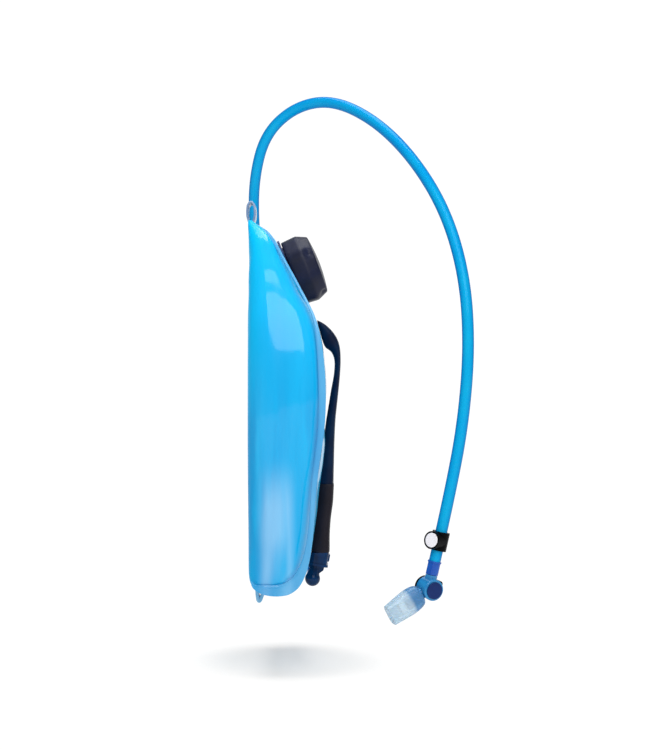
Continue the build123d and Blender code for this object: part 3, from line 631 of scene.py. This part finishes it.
# The outer line of the front and bottom weld in X and Z, the fin's width there and its distance from
# the middle plane, in millimetres
WELD = [
    (-1.0, -10.0, 1.5, 29.0), (9.0, -15.0, 2.6, 34.0), (20.0, -24.0, 2.6, 43.0),
    (33.0, -47.0, 2.0, 55.0), (47.5, -74.0, 2.0, 68.0), (60.5, -100.0, 2.4, 79.0),
    (66.5, -123.0, 4.0, 84.0), (69.8, -150.0, 5.4, 86.0), (70.6, -178.0, 5.6, 87.0),
    (69.0, -205.0, 5.2, 87.0), (65.0, -232.0, 4.4, 86.5), (62.0, -258.0, 4.0, 86.0),
    (59.8, -290.0, 4.2, 85.0), (57.0, -314.0, 5.2, 84.0), (53.2, -330.0, 7.0, 83.5),
    (47.0, -342.6, 8.8, 83.0), (38.6, -349.4, 9.4, 82.5), (30.0, -351.4, 9.0, 82.0),
    (21.5, -351.4, 8.6, 82.0), (13.4, -349.6, 7.6, 82.0), (8.0, -346.8, 5.6, 81.5),
    (4.6, -343.4, 3.2, 80.5), (3.4, -339.0, 1.2, 79.5),
]
WELD_STEPS = 8
FIN_THICKNESS = 0.8
FIN_WAVE = 0.9
# Across the fin: the share of its width, and how far that line stands out, in millimetres
FIN_SECTION = ((0.0, 0.25), (0.12, 0.0), (0.5, 0.0), (0.86, 0.3), (1.2, -0.8))


def catmull_value(t, a, b, c, d):
    """The value a share t of the way from b to c, with a before them and d after."""
    bend = 2 * a - 5 * b + 4 * c - d
    twist = 3 * b - a - 3 * c + d
    return 0.5 * (2 * b + (c - a) * t + bend * t * t + twist * t ** 3)


def catmull(points, steps):
    """A smooth line through points, with some steps between each two."""
    line = []
    for index in range(len(points) - 1):
        p0 = points[max(index - 1, 0)]
        p1 = points[index]
        p2 = points[index + 1]
        p3 = points[min(index + 2, len(points) - 1)]
        for step in range(steps):
            t = step / steps
            line.append(tuple(catmull_value(t, *values) for values in zip(p0, p1, p2, p3)))
    line.append(tuple(points[-1]))
    return line


def make_fin(name, sign, phase):
    """The flat welded border of one side panel, slightly wavy, with a ridge along each edge."""
    line = catmull(WELD, WELD_STEPS)
    rows = []
    for index, (x, z, width, depth) in enumerate(line):
        before = line[max(index - 1, 0)]
        after = line[min(index + 1, len(line) - 1)]
        tangent = Vector((after[0] - before[0], 0, after[1] - before[1])).normalized()
        inward = Vector((tangent.z, 0, -tangent.x))
        wave = FIN_WAVE * noise.noise(Vector((index * 0.11, phase, 0.3)))
        row = []
        for share, ridge in FIN_SECTION:
            place = Vector((x, 0, z)) + inward * width * share
            place.y = sign * (depth + ridge + wave * (1 - share))
            row.append(place * MM)
        rows.append(row)
    fin = new_piece(name, [p for row in rows for p in row], grid_faces(len(rows), len(FIN_SECTION), False))
    fix_normals(fin)
    thicken(fin, FIN_THICKNESS * MM, 0.0)
    subdivide(fin)
    return fin


for fin_name, fin_side, fin_phase in (("weld_fin_near", -1, 0.4), ("weld_fin_far", 1, 5.2)):
    finish_piece(make_fin(fin_name, fin_side, fin_phase), film_weld, "root", "film")


# ---------------------------------------------------------------- film loops

def ribbon_loop(name, line, width, thickness):
    """A closed ribbon that follows a line in X and Z and is as wide as width along Y."""
    across = (-width / 2, -width / 2 + 1, 0, width / 2 - 1, width / 2)
    columns = len(across)
    points = [Vector((x, y, z)) * MM for x, z in line for y in across]
    faces = []
    for row in range(len(line)):
        here = row * columns
        after = (row + 1) % len(line) * columns
        for column in range(columns - 1):
            faces.append((here + column, here + column + 1, after + column + 1, after + column))
    loop = new_piece(name, points, faces)
    fix_normals(loop)
    thicken(loop, thickness * MM, 0.0)
    subdivide(loop)
    return loop


HANG_LINE = [
    (-1.2, -10.5), (-3.4, -4.0), (-3.5, 2.0), (-2.9, 7.0), (0.0, 9.9), (2.9, 7.0), (3.5, 2.0),
    (3.4, -4.0), (1.4, -10.5),
]
FOOT_LINE = [
    (12.0, -350.0), (6.2, -352.5), (5.6, -359.0), (6.4, -365.6), (7.6, -367.2), (9.0, -365.6),
    (11.4, -359.0), (14.0, -352.0),
]


def smooth_closed(points, steps):
    ring = points[-2:] + points + points[:2]
    line = catmull(ring, steps)
    return line[2 * steps:-2 * steps]


hang = ribbon_loop("hang_loop_film", smooth_closed(HANG_LINE, 4), 24.0, 2.0)
finish_piece(hang, film_clear, "root", "clear_film", "hang_loop")
foot = ribbon_loop("bottom_loop_film", smooth_closed(FOOT_LINE, 4), 16.0, 3.4)
finish_piece(foot, foot_clear, "root", "clear_film", "bottom_loop")


# ---------------------------------------------------------------- cap

CAP_TURN_STEPS = 128
CAP_APOTHEM = 31.8
CAP_CORNER = 32.9
CAP_BLEND = 60
# Height above the neck's plane, and how far the outline is drawn in there
CAP_PROFILE = [
    (2.4, -2.0), (2.7, -1.5), (3.4, -1.15), (6.0, -0.95), (9.0, -0.7), (12.0, -0.45), (15.0, -0.2),
    (16.8, -0.1), (17.7, -0.3), (18.6, -0.7), (20.5, -1.5), (22.5, -2.4), (24.5, -3.3), (26.2, -4.0),
    (27.0, -4.4), (27.5, -5.0), (27.8, -6.0), (28.3, -9.0), (29.1, -15.0), (29.8, -22.0),
    (30.15, -29.0),
]
CAP_INSIDE = [(22.8, 0.1), (22.8, 28.0), (22.2, 28.6), (3.0, 28.6), (2.4, 29.0)]
CAP_SCOOP_HEIGHT = 23.4
CAP_SCOOP_DEPTH = 2.8
CAP_SCOOP_HALF_WIDTH = 4.2
CAP_SCOOP_HALF_HEIGHT = 3.0


def cap_radius(angle, change):
    """The cap's outline: eight flats with softly clipped corners, drawn in by change."""
    eighth = math.radians(45)
    local = (angle + eighth / 2) % eighth - eighth / 2
    apothem = CAP_APOTHEM + change
    corner = CAP_CORNER + change
    flat = apothem / math.cos(local)
    return (flat ** -CAP_BLEND + corner ** -CAP_BLEND) ** (-1 / CAP_BLEND) * 2 ** (1 / CAP_BLEND * 0.5)


def neck_frame():
    """The matrix from the neck's own axes to the model's."""
    axis = NECK_AXIS
    side = Vector((0, 1, 0))
    up = axis.cross(side)
    return Matrix.Translation(NECK_CENTRE) @ Matrix((side, up, axis)).transposed().to_4x4()


def on_circle(angle, radius, height):
    return Vector((radius * math.cos(angle), radius * math.sin(angle), height))


def make_cap():
    """The screw cap: an eight-sided shell with four finger scoops, open towards the neck."""
    place = neck_frame()
    rings = []
    for height, change in CAP_PROFILE:
        ring = []
        for step in range(CAP_TURN_STEPS):
            angle = 2 * math.pi * step / CAP_TURN_STEPS
            radius = max(cap_radius(angle, change), 0.2)
            quarter = math.radians(90)
            from_scoop = (angle + quarter / 4 + quarter / 2) % quarter - quarter / 2
            around = from_scoop * CAP_APOTHEM / CAP_SCOOP_HALF_WIDTH
            along = (height - CAP_SCOOP_HEIGHT) / CAP_SCOOP_HALF_HEIGHT
            near = math.exp(-around ** 2 - along ** 2)
            radius -= CAP_SCOOP_DEPTH * near
            ring.append(place @ (on_circle(angle, radius, height) * MM))
        rings.append(ring)
    inside = []
    for height, radius in CAP_INSIDE:
        angles = [2 * math.pi * step / CAP_TURN_STEPS for step in range(CAP_TURN_STEPS)]
        inside.append([place @ (on_circle(angle, radius, height) * MM) for angle in angles])
    cap = loft("cap_shell", list(reversed(rings)) + list(reversed(inside)))
    fix_normals(cap)
    return cap


cap = make_cap()
finish_piece(cap, cap_navy, "cap", "navy_plastic", "cap")


# ---------------------------------------------------------------- handle and sleeve

# Outer edge X Z, inner edge X Z, and half width, in millimetres, from the foot down
GRIP = [
    (62.6, -101.6, 62.4, -102.4, 11.0), (66.2, -103.2, 63.4, -106.4, 12.4),
    (70.6, -106.0, 65.0, -112.2, 13.0), (76.5, -111.6, 67.0, -119.6, 12.8),
    (81.4, -119.0, 69.9, -126.8, 12.4), (84.0, -127.6, 75.8, -131.8, 12.0),
    (84.7, -139.5, 78.7, -139.8, 11.6), (84.1, -153.0, 78.2, -152.6, 11.4),
    (82.7, -168.0, 75.5, -167.8, 11.4), (81.2, -182.0, 73.2, -182.0, 11.4),
    (79.8, -196.0, 70.9, -196.0, 11.5), (78.9, -215.0, 68.4, -215.0, 11.8),
    (78.4, -234.0, 65.4, -234.0, 12.0), (77.9, -257.6, 62.7, -257.6, 12.0),
]
SLEEVE = [
    (78.0, -256.2, 62.5, -256.2, 12.4), (78.3, -257.6, 62.3, -257.6, 12.8),
    (78.0, -264.0, 61.8, -264.0, 12.8), (77.4, -274.0, 60.8, -274.0, 12.7),
    (75.4, -289.0, 59.3, -289.0, 12.6), (74.4, -304.0, 58.0, -304.0, 12.5),
    (74.3, -319.0, 56.9, -319.0, 12.4), (73.7, -321.0, 57.3, -321.0, 11.9),
]
SECTION_STEPS = 40
STRAP_STEPS = 5
STRAP_BEVEL = 0.16


def strap_section(outer, inner, half_width, power):
    """A rounded section between two edges: flat faces, soft corners, bevelled towards the bag."""
    middle = (outer + inner) / 2
    reach = (outer - inner) / 2
    ring = []
    for step in range(SECTION_STEPS):
        angle = 2 * math.pi * step / SECTION_STEPS
        c, s = math.cos(angle), math.sin(angle)
        a = math.copysign(abs(c) ** (2 / power), c)
        b = math.copysign(abs(s) ** (2 / power), s)
        narrow = 1 - STRAP_BEVEL * smoothstep(0.1, -0.9, a)
        ring.append((middle + reach * a + Vector((0, half_width * b * narrow, 0))) * MM)
    return ring


def make_strap(name, table, power):
    """A solid strap through a table of edges; a higher power makes its corners squarer."""
    rings = []
    for outer_x, outer_z, inner_x, inner_z, half_width in catmull(table, STRAP_STEPS):
        outer = Vector((outer_x, 0, outer_z))
        inner = Vector((inner_x, 0, inner_z))
        rings.append(strap_section(outer, inner, half_width, power))
    strap = loft(name, rings)
    fix_normals(strap)
    return strap


grip = make_strap("handle_grip_shell", GRIP, 4.0)
finish_piece(grip, handle_navy, "root", "handle_plastic", "handle_grip")
sleeve = make_strap("handle_sleeve_shell", SLEEVE, 4.5)
finish_piece(sleeve, sleeve_dark, "root", "sleeve_rubber", "handle_sleeve")


# ---------------------------------------------------------------- bite valve

# Distance from the valve's centre, half depth and half width, in millimetres
BITE = [
    (10.6, 5.6, 5.6), (10.2, 6.6, 7.2), (10.4, 7.6, 8.8), (11.6, 8.2, 9.9), (14.0, 8.6, 10.8),
    (17.5, 8.7, 11.4), (21.0, 8.5, 11.6), (24.5, 8.0, 11.4), (29.0, 7.1, 10.9), (34.0, 6.3, 10.3),
    (39.0, 5.6, 9.8), (42.6, 5.3, 9.5), (43.4, 4.9, 9.2), (43.5, 4.2, 8.2), (43.0, 1.6, 6.2),
    (41.0, 0.5, 5.6), (32.0, 0.5, 5.3),
]
BITE_STEPS = 56


def make_bite():
    """The soft mouthpiece: round where it grips the valve, flattened towards its slit."""
    width_axis = MOUTH_AXIS.cross(DIAL_AXIS).normalized()
    rings = []
    for distance, half_depth, half_width in catmull(BITE, 3):
        flatness = 2 + 1.4 * smoothstep(16, 40, distance)
        ring = []
        for step in range(BITE_STEPS):
            angle = 2 * math.pi * step / BITE_STEPS
            c, s = math.cos(angle), math.sin(angle)
            a = math.copysign(abs(c) ** (2 / flatness), c) * half_depth
            b = math.copysign(abs(s) ** (2 / flatness), s) * half_width
            ring.append(VALVE_CENTRE + (MOUTH_AXIS * distance + DIAL_AXIS * a + width_axis * b) * MM)
        rings.append(ring)
    bite = loft("bite_valve_sleeve", rings, cap_start=False)
    fix_normals(bite)
    return bite


bite = make_bite()
finish_piece(bite, bite_clear, "valve", "silicone", "bite_valve")


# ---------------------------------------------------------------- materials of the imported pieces

for node_name, node_material in {
    "neck_ring": neck_navy,
    "cap_gasket": seal_grey,
    "outlet_port": teal_gloss,
    "qd_socket": teal_gloss,
    "release_button": teal_gloss,
    "plug_elbow": teal_gloss,
    "poppet": teal_gloss,
    "button_spring": spring_wire,
    "poppet_spring": spring_wire,
    "plug_seal": seal_grey,
    "clip_band": black_plastic,
    "clip_magnet": magnet_white,
    "valve_connector": connector_blue,
    "connector_seal": seal_grey,
    "valve_elbow": valve_blue,
    "shutoff_dial": dial_navy,
    "dial_lever": black_plastic,
    "dial_seal": seal_grey,
}.items():
    paint_node(node_name, node_material)


# ---------------------------------------------------------------- studio

FLOOR_HEIGHT = -0.425
FLOOR_REACH = 8.0
FLOOR_CENTRE = (0.035, 0.0)


def make_floor():
    """A pale floor that is lit near the object and blends into the white surroundings far away."""
    surface = Surface("studio_white", 0.8)
    surface.set("Base Color", (0.93, 0.9, 0.86, 1))
    surface.set("Specular IOR Level", 0.1)
    tree = surface.tree
    place = surface.node("ShaderNodeMapping")
    place.inputs["Location"].default_value = (-FLOOR_CENTRE[0], -FLOOR_CENTRE[1], -FLOOR_HEIGHT)
    surface.link(surface.coordinates.outputs["Object"], place.inputs["Vector"])
    distance = surface.node("ShaderNodeVectorMath", operation="LENGTH")
    surface.link(place.outputs["Vector"], distance.inputs[0])
    share = surface.node("ShaderNodeMapRange", interpolation_type="SMOOTHSTEP")
    share.inputs["From Min"].default_value = 0.05
    share.inputs["From Max"].default_value = 0.125
    share.inputs["To Min"].default_value = 0.2
    surface.link(distance.outputs["Value"], share.inputs["Value"])
    glow = surface.node("ShaderNodeEmission")
    glow.inputs["Strength"].default_value = 1.06
    blend = surface.node("ShaderNodeMixShader")
    surface.link(share.outputs[0], blend.inputs[0])
    surface.link(surface.shader.outputs[0], blend.inputs[1])
    surface.link(glow.outputs[0], blend.inputs[2])
    surface.link(blend.outputs[0], tree.nodes["Material Output"].inputs["Surface"])
    reach = FLOOR_REACH
    corners = [(-reach, -reach), (reach, -reach), (reach, reach), (-reach, reach)]
    floor = new_piece("floor", [(x, y, FLOOR_HEIGHT) for x, y in corners], [(0, 1, 2, 3)], False)
    paint(floor, surface.material)


def area_light(name, place, target, width, height, power):
    data = bpy.data.lights.new(name, "AREA")
    data.shape = "RECTANGLE"
    data.size = width
    data.size_y = height
    data.energy = power
    light = bpy.data.objects.new(name, data)
    light.location = place
    light.rotation_euler = (Vector(target) - Vector(place)).to_track_quat("-Z", "Y").to_euler()
    scene.collection.objects.link(light)


# How bright the surroundings look in a reflection, from the camera's side to the far side
MIRRORED_LEVELS = ((0.0, 0.4), (0.55, 0.3), (0.86, 1.0))
BACKDROP_STRENGTH = 1.06


def make_world():
    """A white backdrop; what the object mirrors is white behind it and dimmer to the sides and in front."""
    world = bpy.data.worlds.new("studio")
    world.use_nodes = True
    tree = world.node_tree
    background = tree.nodes["Background"]
    coordinates = tree.nodes.new("ShaderNodeTexCoord")
    split = tree.nodes.new("ShaderNodeSeparateXYZ")
    tree.links.new(coordinates.outputs["Generated"], split.inputs[0])
    ramp = tree.nodes.new("ShaderNodeValToRGB")
    ramp.color_ramp.elements.new(1.0)
    for element, (position, level) in zip(ramp.color_ramp.elements, MIRRORED_LEVELS):
        element.position = position
        element.color = grey(level)
    tree.links.new(split.outputs["Y"], ramp.inputs["Fac"])
    rays = tree.nodes.new("ShaderNodeLightPath")
    seen = tree.nodes.new("ShaderNodeMix")
    seen.data_type = "RGBA"
    seen.inputs[7].default_value = FULL
    tree.links.new(rays.outputs["Is Camera Ray"], seen.inputs[0])
    tree.links.new(ramp.outputs["Color"], seen.inputs[6])
    tree.links.new(seen.outputs[2], background.inputs["Color"])
    background.inputs["Strength"].default_value = BACKDROP_STRENGTH
    scene.world = world


make_floor()
make_world()
area_light("softbox_front", (0.34, -1.33, 0.78), (0.03, -0.09, -0.08), 1.3, 1.3, 17)
area_light("softbox_top", (0.03, 0.14, 1.25), (0.04, 0.0, -0.4), 0.9, 0.9, 14)
scene.view_settings.view_transform = "Standard"
